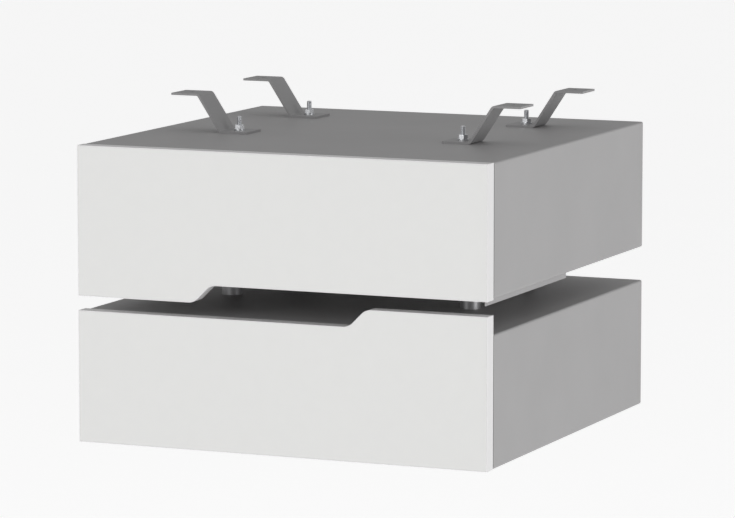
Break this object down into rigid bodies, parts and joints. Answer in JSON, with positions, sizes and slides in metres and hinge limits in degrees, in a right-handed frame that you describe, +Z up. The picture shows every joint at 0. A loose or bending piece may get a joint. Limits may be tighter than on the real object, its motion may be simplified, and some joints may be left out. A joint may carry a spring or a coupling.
{
  "type": "under desk drawer unit",
  "caption": "Hanging under desk drawer unit: stacked grey steel housings with an open gap, ball bearing slides and stepped white fronts that form a shared finger pull.",
  "frame": {"origin": "centre of the rectangle of desk bolt holes, on the plane where the hangers meet the underside of the desk", "axes": "+X to the right as the user sees the fronts, -Y towards the user, +Z up to the desk"},
  "size_m": [0.5, 0.5024, 0.385],
  "materials": {
    "housing_steel": "fine textured grey powder coat",
    "hanger_steel": "fine textured grey powder coat",
    "front_board": "matt white melamine facing",
    "tray_steel": "smooth light grey powder coat",
    "fastener_zinc": "bright zinc plate",
    "slide_steel": "rolled zinc plated steel",
    "cage_steel": "pressed plain steel strip",
    "ball_steel": "polished steel",
    "spacer_metal": "satin turned metal",
    "buffer_rubber": "soft black rubber",
    "lever_plastic": "black moulded plastic"
  },
  "bodies": {
    "carcass": {"upper_housing": "housing_steel", "lower_housing": "housing_steel", "upper_back_cover": "housing_steel", "lower_back_cover": "housing_steel", "back_cover_screws": "fastener_zinc", "front_left_hanger": "hanger_steel", "front_right_hanger": "hanger_steel", "rear_left_hanger": "hanger_steel", "rear_right_hanger": "hanger_steel", "hanger_bolts": "fastener_zinc", "hanger_washers": "fastener_zinc", "hex_nuts": "fastener_zinc", "housing_spacers": "spacer_metal", "spacer_bolts": "fastener_zinc", "floor_ribs": "housing_steel", "upper_left_cabinet_member": "slide_steel", "upper_right_cabinet_member": "slide_steel", "lower_left_cabinet_member": "slide_steel", "lower_right_cabinet_member": "slide_steel", "slide_stop_buffers": "buffer_rubber"},
    "upper_drawer": {"upper_drawer_tray": "tray_steel", "upper_drawer_back": "tray_steel", "upper_inner_front": "tray_steel", "upper_front_panel": "front_board", "upper_front_screws": "fastener_zinc", "upper_front_bumpers": "buffer_rubber", "upper_left_drawer_member": "slide_steel", "upper_right_drawer_member": "slide_steel", "upper_slide_rivets": "fastener_zinc", "upper_lever_pins": "fastener_zinc"},
    "upper_middle_members": {"upper_left_middle_member": "slide_steel", "upper_right_middle_member": "slide_steel"},
    "upper_outer_cages": {"upper_left_outer_cage": "cage_steel", "upper_right_outer_cage": "cage_steel", "upper_outer_balls": "ball_steel"},
    "upper_inner_cages": {"upper_left_inner_cage": "cage_steel", "upper_right_inner_cage": "cage_steel", "upper_inner_balls": "ball_steel"},
    "upper_left_lever": {"upper_left_release_lever": "lever_plastic"},
    "upper_right_lever": {"upper_right_release_lever": "lever_plastic"},
    "lower_drawer": {"lower_drawer_tray": "tray_steel", "lower_drawer_back": "tray_steel", "lower_inner_front": "tray_steel", "lower_front_panel": "front_board", "lower_front_screws": "fastener_zinc", "lower_front_bumpers": "buffer_rubber", "lower_left_drawer_member": "slide_steel", "lower_right_drawer_member": "slide_steel", "lower_slide_rivets": "fastener_zinc", "lower_lever_pins": "fastener_zinc"},
    "lower_middle_members": {"lower_left_middle_member": "slide_steel", "lower_right_middle_member": "slide_steel"},
    "lower_outer_cages": {"lower_left_outer_cage": "cage_steel", "lower_right_outer_cage": "cage_steel", "lower_outer_balls": "ball_steel"},
    "lower_inner_cages": {"lower_left_inner_cage": "cage_steel", "lower_right_inner_cage": "cage_steel", "lower_inner_balls": "ball_steel"},
    "lower_left_lever": {"lower_left_release_lever": "lever_plastic"},
    "lower_right_lever": {"lower_right_release_lever": "lever_plastic"}
  },
  "joints": [
    {"name": "upper_drawer_slide", "type": "slide", "parent": "carcass", "child": "upper_drawer", "axis": [0, -1, 0], "range_m": [0, 0.45]},
    {"name": "lower_drawer_slide", "type": "slide", "parent": "carcass", "child": "lower_drawer", "axis": [0, -1, 0], "range_m": [0, 0.45]},
    {"name": "upper_middle_slide", "type": "slide", "parent": "carcass", "child": "upper_middle_members", "axis": [0, -1, 0], "range_m": [0, 0.225]},
    {"name": "upper_outer_cage_slide", "type": "slide", "parent": "carcass", "child": "upper_outer_cages", "axis": [0, -1, 0], "range_m": [0, 0.1125]},
    {"name": "upper_inner_cage_slide", "type": "slide", "parent": "carcass", "child": "upper_inner_cages", "axis": [0, -1, 0], "range_m": [0, 0.3375]},
    {"name": "upper_left_release", "type": "hinge", "parent": "upper_drawer", "child": "upper_left_lever", "pos_m": [-0.2408, -0.088, -0.12], "axis": [-1, 0, 0], "range_deg": [0, 6], "stiffness_Nm_per_rad": 0.05},
    {"name": "upper_right_release", "type": "hinge", "parent": "upper_drawer", "child": "upper_right_lever", "pos_m": [0.2408, -0.088, -0.12], "axis": [1, 0, 0], "range_deg": [0, 6], "stiffness_Nm_per_rad": 0.05},
    {"name": "lower_middle_slide", "type": "slide", "parent": "carcass", "child": "lower_middle_members", "axis": [0, -1, 0], "range_m": [0, 0.225]},
    {"name": "lower_outer_cage_slide", "type": "slide", "parent": "carcass", "child": "lower_outer_cages", "axis": [0, -1, 0], "range_m": [0, 0.1125]},
    {"name": "lower_inner_cage_slide", "type": "slide", "parent": "carcass", "child": "lower_inner_cages", "axis": [0, -1, 0], "range_m": [0, 0.3375]},
    {"name": "lower_left_release", "type": "hinge", "parent": "lower_drawer", "child": "lower_left_lever", "pos_m": [-0.2408, -0.088, -0.31], "axis": [-1, 0, 0], "range_deg": [0, 6], "stiffness_Nm_per_rad": 0.05},
    {"name": "lower_right_release", "type": "hinge", "parent": "lower_drawer", "child": "lower_right_lever", "pos_m": [0.2408, -0.088, -0.31], "axis": [1, 0, 0], "range_deg": [0, 6], "stiffness_Nm_per_rad": 0.05}
  ],
  "couplings": [
    {"joint": "upper_middle_slide", "follows": "upper_drawer_slide", "ratio": 0.5},
    {"joint": "upper_outer_cage_slide", "follows": "upper_drawer_slide", "ratio": 0.25},
    {"joint": "upper_inner_cage_slide", "follows": "upper_drawer_slide", "ratio": 0.75},
    {"joint": "lower_middle_slide", "follows": "lower_drawer_slide", "ratio": 0.5},
    {"joint": "lower_outer_cage_slide", "follows": "lower_drawer_slide", "ratio": 0.25},
    {"joint": "lower_inner_cage_slide", "follows": "lower_drawer_slide", "ratio": 0.75}
  ]
}
